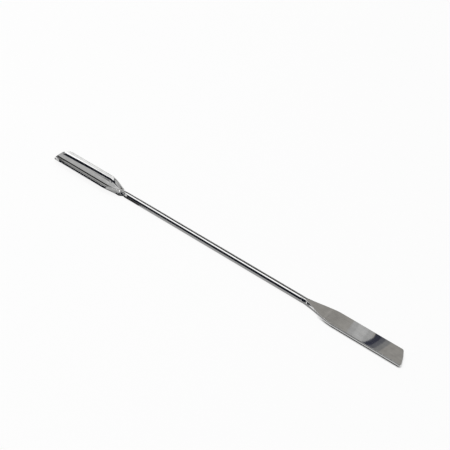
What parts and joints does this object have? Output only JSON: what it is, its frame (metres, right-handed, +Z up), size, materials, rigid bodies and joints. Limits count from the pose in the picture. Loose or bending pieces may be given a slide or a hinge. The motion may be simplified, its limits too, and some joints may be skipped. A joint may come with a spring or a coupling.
{
  "type": "laboratory spatula",
  "caption": "Double-ended laboratory spatula in polished stainless steel: a slim round rod pressed into a flat oblique-tipped blade at one end and an open trough at the other.",
  "frame": {"origin": "below the middle of the length, level with the trough's underside, which the tool lies on", "axes": "+X along the rod toward the blade, +Z up out of the open trough, +Y toward the blade's shorter corner"},
  "size_m": [0.2, 0.009, 0.0035],
  "materials": {
    "steel": "polished stainless steel"
  },
  "bodies": {
    "root": {"spatula": "steel"}
  },
  "joints": []
}
